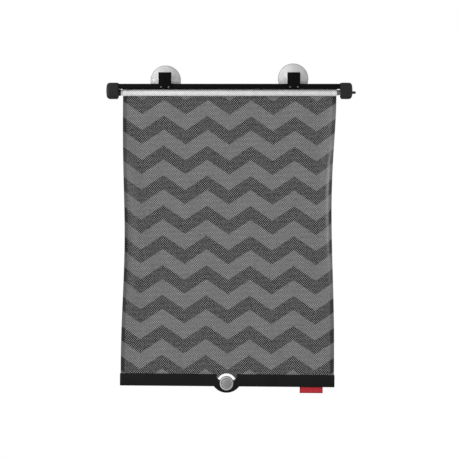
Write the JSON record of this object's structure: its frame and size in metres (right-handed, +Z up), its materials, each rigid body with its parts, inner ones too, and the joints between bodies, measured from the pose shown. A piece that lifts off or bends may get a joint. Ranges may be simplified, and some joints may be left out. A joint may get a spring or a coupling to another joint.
{
  "type": "car side window sunshade",
  "caption": "Roller sun shade for a car side window: perforated chevron film on a spring roller under a black rail, with suction cups, a hem bar with a pull tab and a release button.",
  "frame": {"origin": "On the window glass, midway between the two upper suction cups, with the shade hanging below it.", "axes": "+X to the right as seen from inside the car, +Y outward through the glass, +Z up."},
  "size_m": [0.3739, 0.0314, 0.4953],
  "materials": {
    "black_plastic": "moulded and extruded plastic with a faint sheen",
    "cap_plastic": "moulded plastic with a fine matte grain",
    "white_film": "white back of the vinyl film, perforated",
    "grey_film": "vinyl film with a soft sheen, perforated",
    "dark_print": "printed ink on vinyl film, perforated",
    "clear_vinyl": "clear soft vinyl, slightly milky",
    "white_nylon": "moulded nylon",
    "grey_nylon": "moulded nylon, half clear",
    "aluminium": "drawn tube",
    "steel": "bright zinc plated",
    "brake_rubber": "moulded rubber",
    "red_ribbon": "woven ribbon"
  },
  "bodies": {
    "housing": {"rail": "black_plastic", "end_cap_left": "cap_plastic", "end_cap_right": "cap_plastic", "cup_bracket_left": "black_plastic", "cup_bracket_right": "black_plastic", "bracket_pin_left_a": "steel", "bracket_pin_left_b": "steel", "bracket_pin_right_a": "steel", "bracket_pin_right_b": "steel", "upper_cup_left": "clear_vinyl", "upper_cup_right": "clear_vinyl", "spring_arbor": "steel", "torsion_spring": "steel", "bearing_sleeve": "grey_nylon", "shade_film": "grey_film", "chevron_print": "dark_print"},
    "roller": {"roller_tube": "aluminium", "film_roll": "white_film", "end_plug_left": "white_nylon", "end_plug_right": "grey_nylon", "spring_plug": "white_nylon"},
    "hem_bar": {"hem_strip_front": "black_plastic", "hem_strip_back": "black_plastic", "lower_cup": "clear_vinyl", "label_tag": "red_ribbon"},
    "button": {"release_button": "black_plastic", "brake_disc": "brake_rubber", "button_spring": "steel"}
  },
  "joints": [
    {"name": "bar_slide", "type": "slide", "parent": "housing", "child": "hem_bar", "axis": [0, 0, 1], "range_m": [0, 0.41], "deforming": ["shade_film", "chevron_print"]},
    {"name": "roller_turn", "type": "hinge", "parent": "housing", "child": "roller", "pos_m": [0.0005, -0.01855, -0.0202], "axis": [1, 0, 0], "range_deg": [0, 3750]},
    {"name": "button_press", "type": "slide", "parent": "housing", "child": "button", "axis": [-1, 0, 0], "range_m": [0, 0.002], "stiffness_N_per_m": 100, "springref_m": -0.002, "deforming": ["button_spring"]}
  ],
  "couplings": [
    {"joint": "roller_turn", "follows": "bar_slide", "rad_per_m": 158.7}
  ]
}
